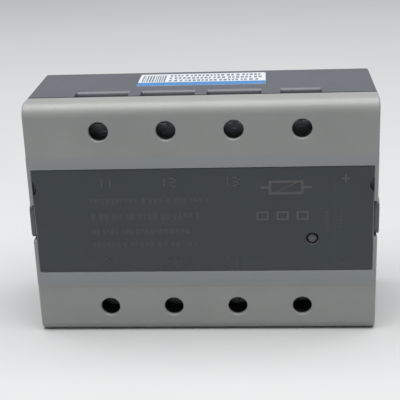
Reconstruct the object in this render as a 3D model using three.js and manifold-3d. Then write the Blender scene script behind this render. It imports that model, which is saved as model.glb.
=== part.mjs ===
// Three-phase solid state relay, panel mounted, standing on its lower long edge.
// Millimetres. +X right, +Y towards the mounting panel, +Z up.
// Origin: centre of the lower face. The light grey cover faces -Y and the aluminium base plate faces +Y.
import * as THREE from "three";
import { mergeVertices } from "three/addons/utils/BufferGeometryUtils.js";
import Module from "manifold-3d";

const wasm = await Module();
wasm.setup();

// ---------------------------------------------------------------- driving dimensions
const WIDTH = 105; // along X
const HEIGHT = 74; // along Z
const DEPTH = 39; // along Y, raised label platform to mounting face
const HALF = WIDTH / 2;
const MID = HEIGHT / 2;
const WALL = 2;
const FRONT_WALL = 1.4; // the cover is thinner across its front
const GAP = 0.3; // between neighbouring pieces
const FIT = 0.4; // between the cover and what it slides over
const BEYOND = 1; // a cut runs this far past the face that it opens

// planes across the depth, from the front to the panel
const FRONT = -DEPTH / 2;
const PLATFORM_RISE = 0.4; // the label platform stands this far in front of the hole bands
const BAND = FRONT + PLATFORM_RISE;
const COVER_INSIDE = BAND + FRONT_WALL;
const COVER_DEPTH = 9.1; // side walls of the cover, from the hole bands back
const COVER_REAR = BAND + COVER_DEPTH;
const RIM = COVER_REAR + GAP; // front edge of the housing
const WINDOW_DEPTH = 5.5; // open height of a wire window behind the cover
const SILL = COVER_REAR + WINDOW_DEPTH;
const LEAD_IN_R = 1.5; // rounding of each window's rear edge, where a wire is led in
const FRAME_FRONT = COVER_INSIDE + FIT; // front of the board frame and the terminal barriers
const PAD_PROUD = 0.2;
const PAD_FRONT = SILL - PAD_PROUD; // face that a cable lug is clamped to
const BUSBAR_THICK = 1.6;
const DECK_FRONT = PAD_FRONT + BUSBAR_THICK + GAP;
const DECK_THICK = 5.8;
const DECK_REAR = DECK_FRONT + DECK_THICK;
const BACK = DEPTH / 2;
const PLATE_THICK = 3;
const PLATE_FRONT = BACK - PLATE_THICK;
const HOUSING_REAR = BACK - GAP;

// cover and label
const TOP_EDGE_R = 4;
const BOTTOM_EDGE_R = 3;
const SIDE_EDGE_R = 0.6;
const PLATFORM_HEIGHT = 42.4;
const PLATFORM_SLOPE = 0.8; // run of the slope up to the platform
const LABEL_WIDTH = 102.4;
const LABEL_HEIGHT = 33.5;
const LABEL_CENTRE = MID + 0.3;
const LABEL_RECESS = 0.4;
const LABEL_THICK = 0.25;
const LABEL_EDGE = 0.1; // clearance above and below the label in its recess
const DRIVER_HOLE_R = 2.95;

// terminals: two rows of four, three power ways (M5) and one control way (M4) in each
const PITCH = 20;
const ROW_OFFSET = 28.6; // screw axes above and below the middle
const POWER = {
  window: 16.4,
  pad: 12,
  padHoleR: 2.8,
  slot: 12.8,
  nut: 8,
  nutThick: 4,
  screwR: 2.4,
  headR: 4.7,
  headHigh: 2.6,
  crossLong: 5.6,
  crossWide: 1.2,
  clampX: 12.8,
  clampZ: 10.4,
  clampThick: 1.2,
};
const CONTROL = {
  window: 12.3,
  pad: 8,
  padHoleR: 2.3,
  slot: 8.8,
  nut: 7,
  nutThick: 3.2,
  screwR: 1.9,
  headR: 3.7,
  headHigh: 2.5,
  crossLong: 4.4,
  crossWide: 1,
  clampX: 10,
  clampZ: 9,
  clampThick: 1.2,
};
const WAYS = [
  { letter: "a", x: -1.5 * PITCH, kind: POWER },
  { letter: "b", x: -0.5 * PITCH, kind: POWER },
  { letter: "c", x: 0.5 * PITCH, kind: POWER },
  { letter: "control", x: 1.5 * PITCH, kind: CONTROL },
];
const PHASES = WAYS.slice(0, 3);
const ROWS = [
  { end: "1", sign: "plus", side: 1 },
  { end: "2", sign: "minus", side: -1 },
];
const SCREW_UNDER = 0.2; // clearance under a screw head
const NUT_PLAY = 0.4; // across the flats of a nut in its pocket
const POCKET_FLOOR = 0.6; // clearance behind a nut

// housing, board frame and terminal blocks
const CORNER_R = 0.8;
const FRAME_HALF = 18; // half height of the frame that holds the circuit board
const FRAME_TOP = MID + FRAME_HALF;
const POST_R = 1.8;
const POST_X = 36.5;
const POST_Z = 11;
const OUTER_BARRIER = 3.5;
const BOSS_X = 46;
const BOSS_Z = 30; // above and below the middle
const BOSS_R = 4;
const BOSS_WEB = 3;
const PILOT_R = 1.6;
const WELL_X = 45; // mounting screws (M5), 90 mm apart
const WELL_R = 4.75;
const WELL_OUTER_R = 6.1;
const MOUNT_HOLE_R = 2.9;
const SEAT_R = 4.3; // spot face under the head of a mounting screw
const SEAT_DEEP = 0.3;
const PLATE_CORNER_R = 1.5;

// light pipe and circuit board
const LED_X = 33;
const LED_Z = MID - 6;
const PIPE_R = 1.45;
const PIPE_COLLAR_R = 2.3;
const LED_HOLE_R = 1.95;
const BOARD_FRONT = 0;
const BOARD_THICK = 1.6;
const BOARD_WIDTH = 77;
const BOARD_HEIGHT = 27;
const SOLDER = 0.05; // from the board up to the feet of its components

// latches
const LATCH_INNER = 51.6;
const LATCH_OUTER = 53;
const LATCH_HEIGHT = 11.2;
const LATCH_FRONT = BAND + 0.9;
const LATCH_TIP_R = 2.4;
const LATCH_PIVOT_X = 52.1;
const LATCH_PIVOT_Y = 3;
const LATCH_KNUCKLE_R = 0.9;
const LATCH_EDGE_R = 0.3;
const LATCH_HEEL_ROOM = 0.5; // behind the root of a latch
const FINGER_RIB = { count: 3, first: 3, pitch: 2, half: 3.5, deep: 0.25 }; // first: from the latch's tip
const GROOVE_FLOOR = 51.3;
const GROOVE_HALF = LATCH_HEIGHT / 2 + FIT;
const PRY_R = 2.9; // half-round pry notch beside each latch
const PRY_X = 52.9;
const PRY_Z = MID + 11;

// sticker on the upper long side
const STICKER_X = -0.5;
const STICKER_WIDTH = 40;
const STICKER_FRONT = 1.4;
const STICKER_DEPTH = 14.9;
const STICKER_THICK = 0.15;

// power section
const SUBSTRATE_THICK = 1;
const SUBSTRATE_WIDTH = 57;
const SUBSTRATE_HEIGHT = 42;
const SUBSTRATE_FRONT = PLATE_FRONT - SUBSTRATE_THICK;
const DIE_THICK = 0.5;
const DIE_FRONT = SUBSTRATE_FRONT - DIE_THICK;
const DIE_SIZE = 9;
const DIE_Z = 11;
const FOOT_REAR = DIE_FRONT - 0.2;
const FOOT_LENGTH = 9.4; // of a busbar's foot, from its leg to over the chip
const POTTING_FRONT = 8.5;

// ---------------------------------------------------------------- solid modelling helpers
// A closed three.js geometry as a solid, with its faces turned outwards.
function solid(geometry) {
  const bare = new THREE.BufferGeometry();
  const source = geometry.index ? geometry.toNonIndexed() : geometry;
  bare.setAttribute("position", source.getAttribute("position"));
  const merged = mergeVertices(bare, 1e-4);
  const index = merged.index.array;
  const triangles = [];
  for (let i = 0; i < index.length; i += 3) {
    const [a, b, c] = [index[i], index[i + 1], index[i + 2]];
    if (a !== b && b !== c && c !== a) triangles.push([a, b, c]);
  }
  const build = (list) =>
    new wasm.Manifold(
      new wasm.Mesh({
        numProp: 3,
        vertProperties: new Float32Array(merged.attributes.position.array),
        triVerts: new Uint32Array(list.flat()),
      }),
    );
  const made = build(triangles);
  return made.volume() > 0 ? made : build(triangles.map(([a, b, c]) => [a, c, b]));
}

// The solid's surface as a three.js geometry.
function geometryOf(part) {
  const mesh = part.getMesh();
  const points = new Float32Array(mesh.numVert * 3);
  for (let i = 0; i < mesh.numVert; i++) {
    points.set(mesh.vertProperties.subarray(i * mesh.numProp, i * mesh.numProp + 3), i * 3);
  }
  const geometry = new THREE.BufferGeometry();
  geometry.setAttribute("position", new THREE.BufferAttribute(points, 3));
  geometry.setIndex(new THREE.BufferAttribute(new Uint32Array(mesh.triVerts), 1));
  geometry.computeVertexNormals();
  return geometry;
}

const union = (first, ...rest) => rest.reduce((sum, part) => sum.add(part), first);
const cut = (first, ...rest) => rest.reduce((left, part) => left.subtract(part), first);

// Box from opposite corners.
function block(x0, x1, y0, y1, z0, z1) {
  const box = new THREE.BoxGeometry(x1 - x0, y1 - y0, z1 - z0);
  return solid(box.translate((x0 + x1) / 2, (y0 + y1) / 2, (z0 + z1) / 2));
}

// Box centred on X = 0 and Z = middle.
const slab = (width, y0, y1, height, middle = 0) =>
  block(-width / 2, width / 2, y0, y1, middle - height / 2, middle + height / 2);

// Round bar along Y.
function bar(radius, x, z, y0, y1, segments = 20) {
  const cylinder = new THREE.CylinderGeometry(radius, radius, y1 - y0, segments);
  return solid(cylinder.translate(x, (y0 + y1) / 2, z));
}

// Turned shape about Y from [radius, y] pairs that start and end on the axis.
const turned = (profile, segments = 16) =>
  solid(new THREE.LatheGeometry(profile.map(([r, y]) => new THREE.Vector2(r, y)), segments));

// Rounded rectangle in X and Z, extruded along Y.
function roundedSlab(width, height, radius, y0, y1, middle, segments = 3) {
  const [w, h] = [width / 2, height / 2];
  const outline = new THREE.Shape();
  outline.absarc(w - radius, h - radius, radius, 0, Math.PI / 2);
  outline.absarc(radius - w, h - radius, radius, Math.PI / 2, Math.PI);
  outline.absarc(radius - w, radius - h, radius, Math.PI, 1.5 * Math.PI);
  outline.absarc(w - radius, radius - h, radius, 1.5 * Math.PI, 2 * Math.PI);
  const geometry = new THREE.ExtrudeGeometry(outline, {
    depth: y1 - y0,
    bevelEnabled: false,
    curveSegments: segments,
  });
  return solid(geometry.rotateX(Math.PI / 2).translate(0, y1, middle));
}

// Outline in [y, z], extruded along X about X = 0, with rounded ends if an edge radius is given.
function crossSection(outline, width, edge = 0, segments = 6) {
  const geometry = new THREE.ExtrudeGeometry(outline, {
    depth: width - 2 * edge,
    bevelEnabled: edge > 0,
    bevelThickness: edge,
    bevelSize: edge,
    bevelOffset: -edge,
    bevelSegments: 1,
    curveSegments: segments,
  });
  geometry.translate(0, 0, edge - width / 2);
  const turn = new THREE.Matrix4().makeBasis(
    new THREE.Vector3(0, 1, 0),
    new THREE.Vector3(0, 0, 1),
    new THREE.Vector3(1, 0, 0),
  );
  return solid(geometry.applyMatrix4(turn));
}

const shapeOf = (points) => new THREE.Shape(points.map(([u, v]) => new THREE.Vector2(u, v)));
const mirrorX = (part) => part.mirror([1, 0, 0]);

// ---------------------------------------------------------------- materials
const finish = (color, roughness, metalness = 0) =>
  new THREE.MeshStandardMaterial({ color, roughness, metalness });
const MATERIALS = {
  lightPlastic: finish(0x9a9d9c, 0.45),
  darkPlastic: finish(0x3c4046, 0.5),
  label: finish(0x2e3337, 0.5),
  paper: finish(0xe8ecef, 0.6),
  aluminium: finish(0xb9bcbf, 0.35, 1),
  nickel: finish(0xb4b2ac, 0.3, 1),
  zinc: finish(0xa9adb2, 0.35, 1),
  ceramic: finish(0xe9e6df, 0.6),
  silicon: finish(0x565b66, 0.25, 0.6),
  board: finish(0x1f5a3a, 0.55),
  chip: finish(0xe4e2da, 0.5),
  lens: finish(0xdfe6ea, 0.1),
  resin: finish(0x2a2c30, 0.6),
};

const relay = new THREE.Group();
function add(name, part, material, parent = relay) {
  const mesh = new THREE.Mesh(geometryOf(part), material);
  mesh.name = name;
  parent.add(mesh);
  return mesh;
}

// ---------------------------------------------------------------- cover and label
// Section of the cover from its rear edge round its front face, `inset` in from the outer top and bottom.
function coverSection(inset, front, rear) {
  const [low, high] = [inset, HEIGHT - inset];
  const [lowR, highR] = [BOTTOM_EDGE_R - inset, TOP_EDGE_R - inset];
  const outline = new THREE.Shape();
  outline.moveTo(rear, low);
  outline.lineTo(rear, high);
  outline.absarc(front + highR, high - highR, highR, Math.PI / 2, Math.PI, false);
  if (inset === 0) {
    const step = PLATFORM_HEIGHT / 2;
    outline.lineTo(front, MID + step);
    outline.lineTo(FRONT, MID + step - PLATFORM_SLOPE);
    outline.lineTo(FRONT, MID - step + PLATFORM_SLOPE);
    outline.lineTo(front, MID - step);
  }
  outline.absarc(front + lowR, low + lowR, lowR, Math.PI, 1.5 * Math.PI, false);
  return outline;
}

// Half-round notch between the label and the rim, on the +X side.
function pryNotch(y0, y1) {
  const round = bar(PRY_R, PRY_X, PRY_Z, y0, y1, 24);
  return round.intersect(block(PRY_X - PRY_R, GROOVE_FLOOR, y0, y1, PRY_Z - PRY_R, PRY_Z + PRY_R));
}

// Groove for a latch in the +X side, from y0 to y1.
const latchGroove = (y0, y1) =>
  block(GROOVE_FLOOR, HALF + BEYOND, y0, y1, MID - GROOVE_HALF, MID + GROOVE_HALF);

function makeCover() {
  const before = FRONT - BEYOND;
  const shell = crossSection(coverSection(0, BAND, COVER_REAR), WIDTH, SIDE_EDGE_R, 6);
  const inside = crossSection(
    coverSection(WALL, COVER_INSIDE, COVER_REAR + BEYOND),
    WIDTH - 2 * WALL,
    0,
    3,
  );
  const recessHeight = LABEL_HEIGHT + 2 * LABEL_EDGE;
  const recess = slab(2 * GROOVE_FLOOR, before, FRONT + LABEL_RECESS, recessHeight, LABEL_CENTRE);
  const groove = latchGroove(before, COVER_REAR + BEYOND);
  const pry = pryNotch(before, COVER_INSIDE + BEYOND);
  const holes = ROWS.flatMap((row) =>
    WAYS.map((way) => bar(DRIVER_HOLE_R, way.x, MID + row.side * ROW_OFFSET, before, COVER_REAR, 24)),
  );
  const ledHole = bar(LED_HOLE_R, LED_X, LED_Z, before, COVER_REAR);
  return cut(shell, inside, recess, groove, mirrorX(groove), pry, mirrorX(pry), ledHole, ...holes);
}

function makeLabel() {
  const floor = FRONT + LABEL_RECESS;
  const sheet = slab(LABEL_WIDTH, floor - LABEL_THICK, floor, LABEL_HEIGHT, LABEL_CENTRE);
  const pry = pryNotch(FRONT - BEYOND, 0);
  const ledHole = bar(LED_HOLE_R, LED_X, LED_Z, FRONT - BEYOND, 0);
  return cut(sheet, pry, mirrorX(pry), ledHole);
}

// ---------------------------------------------------------------- housing, board frame and terminal blocks
const aboutMiddle = (part) => part.translate([0, 0, -MID]).mirror([0, 0, 1]).translate([0, 0, MID]);
const both = (part) => [part, mirrorX(part)];

// Four outer walls with eight wire windows, a groove for each latch and a boss for each base screw.
// A window is open towards the cover, and its rear edge is rounded on the outside.
function makeHousing() {
  const inside = [WIDTH - 2 * WALL, HEIGHT - 2 * WALL];
  const walls = cut(
    roundedSlab(WIDTH, HEIGHT, CORNER_R, RIM, HOUSING_REAR, MID),
    slab(inside[0], RIM - BEYOND, HOUSING_REAR + BEYOND, inside[1], MID),
  );
  const [bossFront, bossRear] = [DECK_REAR + GAP, PLATE_FRONT - GAP];
  const bosses = ROWS.flatMap(({ side }) => {
    const z = MID + side * BOSS_Z;
    const web = block(BOSS_X, HALF - WALL / 2, bossFront, bossRear, z - BOSS_WEB / 2, z + BOSS_WEB / 2);
    return both(union(bar(BOSS_R, BOSS_X, z, bossFront, bossRear, 16), web));
  });
  const pilots = ROWS.flatMap(({ side }) =>
    both(bar(PILOT_R, BOSS_X, MID + side * BOSS_Z, POTTING_FRONT, BACK, 12)),
  );
  const [low, high] = [HEIGHT - WALL - BEYOND, HEIGHT + BEYOND];
  const opening = new THREE.Shape();
  opening.moveTo(RIM - BEYOND, low);
  opening.lineTo(SILL, low);
  opening.absarc(SILL + LEAD_IN_R, HEIGHT - LEAD_IN_R, LEAD_IN_R, Math.PI, Math.PI / 2, true);
  opening.lineTo(SILL + LEAD_IN_R, high);
  opening.lineTo(RIM - BEYOND, high);
  const windows = WAYS.map(({ x, kind }) => crossSection(opening, kind.window, 0, 4).translate([x, 0, 0]));
  const groove = latchGroove(RIM - BEYOND, LATCH_PIVOT_Y + LATCH_HEEL_ROOM);
  const knuckleR = LATCH_KNUCKLE_R + GAP;
  const knuckle = block(
    LATCH_PIVOT_X - knuckleR,
    HALF + BEYOND,
    LATCH_PIVOT_Y - knuckleR,
    LATCH_PIVOT_Y + knuckleR,
    MID - GROOVE_HALF,
    MID + GROOVE_HALF,
  );
  return cut(
    union(walls, ...bosses),
    ...pilots,
    ...windows,
    ...windows.map(aboutMiddle),
    ...both(groove),
    ...both(knuckle),
  );
}

// Slot for one busbar between the deck and the inside of the board frame.
function busbarSlot({ x, kind }) {
  const [low, high] = [FRAME_TOP - WALL - BEYOND, FRAME_TOP + BEYOND];
  return block(x - kind.slot / 2, x + kind.slot / 2, PAD_FRONT - GAP, DECK_FRONT, low, high);
}

// Middle moulding, open towards the panel: four posts for the circuit board and two screw wells.
function makeBoardFrame() {
  const wide = WIDTH - 2 * WALL - 2 * FIT;
  const shell = cut(
    slab(wide, FRAME_FRONT, DECK_REAR, 2 * FRAME_HALF, MID),
    slab(wide - 2 * WALL, FRAME_FRONT + WALL, DECK_REAR + BEYOND, 2 * FRAME_HALF - 2 * WALL, MID),
  );
  const posts = [-1, 1].flatMap((j) =>
    both(bar(POST_R, POST_X, MID + j * POST_Z, FRAME_FRONT + WALL / 2, BOARD_FRONT - GAP, 10)),
  );
  const wellRear = PLATE_FRONT - GAP;
  const within = slab(wide, FRAME_FRONT, wellRear, 2 * FRAME_HALF, MID);
  const well = bar(WELL_OUTER_R, WELL_X, MID, FRAME_FRONT, wellRear, 20).intersect(within);
  const bore = bar(WELL_R, WELL_X, MID, FRAME_FRONT - BEYOND, BACK, 20);
  const slots = WAYS.map(busbarSlot);
  const pipeHole = bar(PIPE_R + GAP, LED_X, LED_Z, FRAME_FRONT - BEYOND, FRAME_FRONT + WALL + BEYOND, 16);
  const body = union(shell, ...posts, ...both(well));
  return cut(body, ...both(bore), ...slots, ...slots.map(aboutMiddle), pipeHole);
}

// Barrier between two ways, chamfered to clear the rounded inside of the cover.
function makeBarrier(x0, x1) {
  const [inner, outer] = [FRAME_TOP + GAP, HEIGHT - WALL - FIT];
  const chamfer = TOP_EDGE_R - WALL - FIT;
  const outline = shapeOf([
    [DECK_FRONT + BEYOND, inner],
    [DECK_FRONT + BEYOND, outer],
    [FRAME_FRONT + chamfer, outer],
    [FRAME_FRONT, outer - chamfer],
    [FRAME_FRONT, inner],
  ]);
  return crossSection(outline, x1 - x0).translate([(x0 + x1) / 2, 0, 0]);
}

// Upper terminal block: a deck that the busbars lie on, with a nut pocket for each way and five barriers.
function makeTerminalBlock() {
  const wide = WIDTH - 2 * WALL - 2 * GAP;
  const deck = block(-wide / 2, wide / 2, DECK_FRONT, DECK_REAR, FRAME_TOP + GAP, HEIGHT - WALL - GAP);
  const edges = WAYS.map(({ x, kind }) => [x - kind.window / 2, x + kind.window / 2]);
  const first = edges[0][0];
  const last = edges[edges.length - 1][1];
  const barriers = [
    makeBarrier(first - OUTER_BARRIER, first),
    ...edges.slice(1).map((edge, i) => makeBarrier(edges[i][1], edge[0])),
    makeBarrier(last, last + OUTER_BARRIER),
  ];
  const pockets = WAYS.map(({ x, kind }) => {
    const hexR = (kind.nut + NUT_PLAY) / Math.sqrt(3);
    const floor = DECK_FRONT + kind.nutThick + POCKET_FLOOR;
    return bar(hexR, x, MID + ROW_OFFSET, DECK_FRONT - BEYOND, floor, 6);
  });
  return cut(union(deck, ...barriers), ...pockets);
}

// Snap latch on the +X side: a flat arm with a rounded tip, finger grooves and a knuckle at its root.
function makeLatch() {
  const half = LATCH_HEIGHT / 2;
  const outline = new THREE.Shape();
  outline.moveTo(LATCH_PIVOT_Y, MID - half);
  outline.lineTo(LATCH_PIVOT_Y, MID + half);
  const tip = LATCH_TIP_R;
  outline.absarc(LATCH_FRONT + tip, MID + half - tip, tip, Math.PI / 2, Math.PI, false);
  outline.absarc(LATCH_FRONT + tip, MID - half + tip, tip, Math.PI, 1.5 * Math.PI, false);
  const arm = crossSection(outline, LATCH_OUTER - LATCH_INNER, LATCH_EDGE_R, 5);
  const placed = arm.translate([(LATCH_OUTER + LATCH_INNER) / 2, 0, 0]);
  const pin = new THREE.CylinderGeometry(LATCH_KNUCKLE_R, LATCH_KNUCKLE_R, LATCH_HEIGHT, 16);
  pin.rotateX(Math.PI / 2).translate(LATCH_PIVOT_X, LATCH_PIVOT_Y, MID);
  const grooves = Array.from({ length: FINGER_RIB.count }, (_, i) => {
    const y0 = LATCH_FRONT + FINGER_RIB.first + i * FINGER_RIB.pitch;
    const y1 = y0 + FINGER_RIB.pitch / 2;
    const [z0, z1] = [MID - FINGER_RIB.half, MID + FINGER_RIB.half];
    return block(LATCH_OUTER - FINGER_RIB.deep, LATCH_OUTER + BEYOND, y0, y1, z0, z1);
  });
  return cut(union(placed, solid(pin)), ...grooves);
}

// Sticker on the upper long side.
const makeSticker = () =>
  block(
    STICKER_X - STICKER_WIDTH / 2,
    STICKER_X + STICKER_WIDTH / 2,
    STICKER_FRONT,
    STICKER_FRONT + STICKER_DEPTH,
    HEIGHT,
    HEIGHT + STICKER_THICK,
  );

// ---------------------------------------------------------------- base plate and its screws
const COUNTERSINK = { head: 3.2, shank: 1.3, deep: 1.8, low: 0.1, play: 0.4 };
const BASE_SCREW_TIP = { y: POTTING_FRONT + 0.5, long: 0.7 };
const BASE_SCREW_RECESS = { long: 3.4, wide: 0.8, deep: 1 };

// Plate with two mounting holes, a spot face round each, and four countersunk holes.
function makeBasePlate() {
  const [wide, high] = [WIDTH - 2 * WALL - 2 * GAP, HEIGHT - 2 * WALL - 2 * GAP];
  const plate = roundedSlab(wide, high, PLATE_CORNER_R, PLATE_FRONT, BACK, MID);
  const hole = bar(MOUNT_HOLE_R, WELL_X, MID, PLATE_FRONT - BEYOND, BACK + BEYOND, 24);
  const seat = bar(SEAT_R, WELL_X, MID, PLATE_FRONT - BEYOND, PLATE_FRONT + SEAT_DEEP, 24);
  const { head, shank, deep, play } = COUNTERSINK;
  const sink = turned([
    [0, PLATE_FRONT - BEYOND],
    [shank + play, PLATE_FRONT - BEYOND],
    [shank + play, BACK - deep],
    [head + play, BACK],
    [head + play, BACK + BEYOND],
    [0, BACK + BEYOND],
  ]);
  const sinks = ROWS.flatMap(({ side }) => both(sink.translate([BOSS_X, 0, MID + side * BOSS_Z])));
  return cut(plate, ...both(hole), ...both(seat), ...sinks);
}

// Crossed driver recess from y0 to y1.
const cross = (long, wide, y0, y1) => union(slab(long, y0, y1, wide), slab(wide, y0, y1, long));

// Countersunk screw, head towards the panel.
function makeBaseScrew() {
  const { head, shank, deep, low } = COUNTERSINK;
  const rear = BACK - low;
  const body = turned([
    [0, BASE_SCREW_TIP.y],
    [shank, BASE_SCREW_TIP.y + BASE_SCREW_TIP.long],
    [shank, rear - deep],
    [head, rear],
    [0, rear],
  ]);
  const recess = BASE_SCREW_RECESS;
  return cut(body, cross(recess.long, recess.wide, rear - recess.deep, BACK));
}

// ---------------------------------------------------------------- terminals, built about their screw axis
// Local +Z points to the outer wall, and the row groups turn the lower row over.

// Power busbar: pad under the clamp, leg down inside the board frame, foot on the chip.
function makeBusbar({ pad, padHoleR }) {
  const thick = BUSBAR_THICK;
  const outer = 5.6;
  const inner = FRAME_HALF - WALL - FIT - ROW_OFFSET;
  const footEnd = inner - FOOT_LENGTH;
  const outline = shapeOf([
    [PAD_FRONT, outer],
    [PAD_FRONT, inner - thick],
    [FOOT_REAR - thick, inner - thick],
    [FOOT_REAR - thick, footEnd],
    [FOOT_REAR, footEnd],
    [FOOT_REAR, inner],
    [PAD_FRONT + thick, inner],
    [PAD_FRONT + thick, outer],
  ]);
  return cut(crossSection(outline, pad), bar(padHoleR, 0, 0, PAD_FRONT - BEYOND, PAD_FRONT + thick + BEYOND));
}

// Control strip: pad under the clamp, and a leg that ends just in front of the circuit board.
function makeControlStrip({ pad, padHoleR }) {
  const thick = 1.2;
  const outer = 5;
  const overBoard = 4.1;
  const inner = BOARD_HEIGHT / 2 - ROW_OFFSET - overBoard;
  const boardEnd = BOARD_FRONT - 0.2;
  const outline = shapeOf([
    [PAD_FRONT, outer],
    [PAD_FRONT, inner],
    [boardEnd, inner],
    [boardEnd, inner + thick],
    [PAD_FRONT + thick, inner + thick],
    [PAD_FRONT + thick, outer],
  ]);
  return cut(crossSection(outline, pad), bar(padHoleR, 0, 0, PAD_FRONT - BEYOND, PAD_FRONT + thick + BEYOND));
}

// Flat clamp plate with two grooves across its rear face, whose edges bite on the wire.
function makeClamp({ clampX, clampZ, clampThick, screwR }) {
  const rear = PAD_FRONT - GAP;
  const front = rear - clampThick;
  const [cornerR, fromEdge, grooveHalf, grooveDeep] = [1, 1.2, 0.4, 0.3];
  const hole = bar(screwR + FIT, 0, 0, front - BEYOND, rear + BEYOND);
  const grooves = [-1, 1].map((i) => {
    const z = i * (clampZ / 2 - fromEdge);
    return block(-clampX, clampX, rear - grooveDeep, rear + BEYOND, z - grooveHalf, z + grooveHalf);
  });
  return cut(roundedSlab(clampX, clampZ, cornerR, front, rear, 0), hole, ...grooves);
}

// Pan-head screw with a crossed recess, its end just through the nut.
function makeScrew({ clampThick, headR, headHigh, screwR, nutThick, crossLong, crossWide }) {
  const under = PAD_FRONT - GAP - clampThick - SCREW_UNDER;
  const top = under - headHigh;
  const end = DECK_FRONT + nutThick;
  const [headEdge, tipEdge, recessPart] = [0.9, 0.6, 0.6];
  const body = turned([
    [0, top],
    [headR - headEdge, top],
    [headR, top + headEdge],
    [headR, under],
    [screwR, under],
    [screwR, end - tipEdge],
    [screwR - tipEdge, end],
    [0, end],
  ]);
  return cut(body, cross(crossLong, crossWide, top - BEYOND, top + recessPart * headHigh));
}

function makeNut({ nut, nutThick, screwR }) {
  const front = DECK_FRONT - 0.2;
  const hex = bar(nut / Math.sqrt(3), 0, 0, front, front + nutThick, 6);
  return cut(hex, bar(screwR + GAP, 0, 0, front - BEYOND, front + nutThick + BEYOND));
}

// ---------------------------------------------------------------- electronics
// Six-pin optocoupler with gull-wing leads 2.54 mm apart and a dot at pin one.
function makeOptocoupler() {
  const [bodyWide, bodyHigh, bodyFront, standOff] = [6.5, 8.8, BOARD_FRONT - 4, 0.5];
  const [leadIn, leadOut, leadThick, leadPitch] = [3, 4.2, 0.3, 2.54];
  const [shoulderHalf, footHalf] = [0.6, 0.4];
  const shoulder = BOARD_FRONT - 2.4;
  const foot = BOARD_FRONT - SOLDER;
  const body = slab(bodyWide, bodyFront, BOARD_FRONT - standOff, bodyHigh);
  const [dotR, dotX, dotZ, dotDeep] = [0.6, -2, 3.2, 0.2];
  const dot = bar(dotR, dotX, dotZ, bodyFront - BEYOND, bodyFront + dotDeep, 8);
  const leads = [-1, 0, 1].flatMap((i) => {
    const z = i * leadPitch;
    const out = block(leadIn, leadOut, shoulder, shoulder + leadThick, z - shoulderHalf, z + shoulderHalf);
    const down = block(leadOut - leadThick, leadOut, shoulder, foot, z - footHalf, z + footHalf);
    return both(union(out, down));
  });
  return union(cut(body, dot), ...leads);
}

const makeBoard = () => slab(BOARD_WIDTH, BOARD_FRONT, BOARD_FRONT + BOARD_THICK, BOARD_HEIGHT, MID);

// Surface-mounted lamp under the light pipe.
function makeStatusLed() {
  const [wide, high, tall] = [1.8, 2.6, 1.1];
  return slab(wide, BOARD_FRONT - tall, BOARD_FRONT - SOLDER, high);
}

// Clear rod from the label to the lamp on the board, with a collar behind the frame's front.
function makeLightPipe() {
  const tip = FRONT + 0.15;
  const [crownR, crownLong, domeLong, collarLong] = [0.8, 0.15, 0.75, 1];
  const collar = FRAME_FRONT + WALL + 0.2;
  const rear = BOARD_FRONT - 1.4;
  return turned([
    [0, tip],
    [crownR, tip + crownLong],
    [PIPE_R, tip + domeLong],
    [PIPE_R, collar],
    [PIPE_COLLAR_R, collar],
    [PIPE_COLLAR_R, collar + collarLong],
    [PIPE_R, collar + collarLong],
    [PIPE_R, rear],
    [0, rear],
  ]);
}

// Resin over the power section, open towards the base plate around everything that it surrounds.
function makePotting() {
  const [front, rear] = [POTTING_FRONT - BEYOND, PLATE_FRONT - GAP + BEYOND];
  const [wide, high] = [WIDTH - 2 * WALL - 2 * GAP, HEIGHT - 2 * WALL - 2 * GAP];
  const fill = slab(wide, POTTING_FRONT, PLATE_FRONT - GAP, high, MID);
  const well = bar(WELL_OUTER_R + GAP, WELL_X, MID, front, rear, 20);
  const webHalf = BOSS_WEB / 2 + GAP;
  const bosses = ROWS.flatMap(({ side }) => {
    const z = MID + side * BOSS_Z;
    const web = block(BOSS_X, HALF, front, rear, z - webHalf, z + webHalf);
    return both(union(bar(BOSS_R + GAP, BOSS_X, z, front, rear, 20), web));
  });
  const overChips = FOOT_REAR - BUSBAR_THICK - GAP;
  const margin = 1; // above and below the substrate
  const overSubstrate = slab(SUBSTRATE_WIDTH + 2 * GAP, overChips, rear, SUBSTRATE_HEIGHT + 2 * margin, MID);
  const power = overSubstrate.translate([PHASES[1].x, 0, 0]);
  const legZ = FRAME_HALF - WALL - FIT - BUSBAR_THICK / 2;
  const legs = PHASES.flatMap(({ x }) =>
    ROWS.map(({ side }) => {
      const slot = slab(POWER.pad + 2 * GAP, front, rear, BUSBAR_THICK + 2 * GAP, MID + side * legZ);
      return slot.translate([x, 0, 0]);
    }),
  );
  return cut(fill, ...both(well), ...bosses, power, ...legs);
}

// ---------------------------------------------------------------- assembly
add("base_plate", makeBasePlate(), MATERIALS.aluminium);
add("housing", makeHousing(), MATERIALS.darkPlastic);
add("board_frame", makeBoardFrame(), MATERIALS.darkPlastic);
const terminalBlock = makeTerminalBlock();
add("terminal_block_upper", terminalBlock, MATERIALS.darkPlastic);
add("terminal_block_lower", aboutMiddle(terminalBlock), MATERIALS.darkPlastic);
add("cover", makeCover(), MATERIALS.lightPlastic);
add("front_label", makeLabel(), MATERIALS.label);
add("rating_sticker", makeSticker(), MATERIALS.paper);

const latch = makeLatch();
add("cover_latch_right", latch, MATERIALS.darkPlastic);
add("cover_latch_left", mirrorX(latch), MATERIALS.darkPlastic);

for (const [side, sideName] of [[-1, "left"], [1, "right"]]) {
  for (const [row, rowName] of [[-1, "lower"], [1, "upper"]]) {
    const screw = add(`base_screw_${rowName}_${sideName}`, makeBaseScrew(), MATERIALS.zinc);
    screw.position.set(side * BOSS_X, 0, MID + row * BOSS_Z);
  }
}

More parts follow.
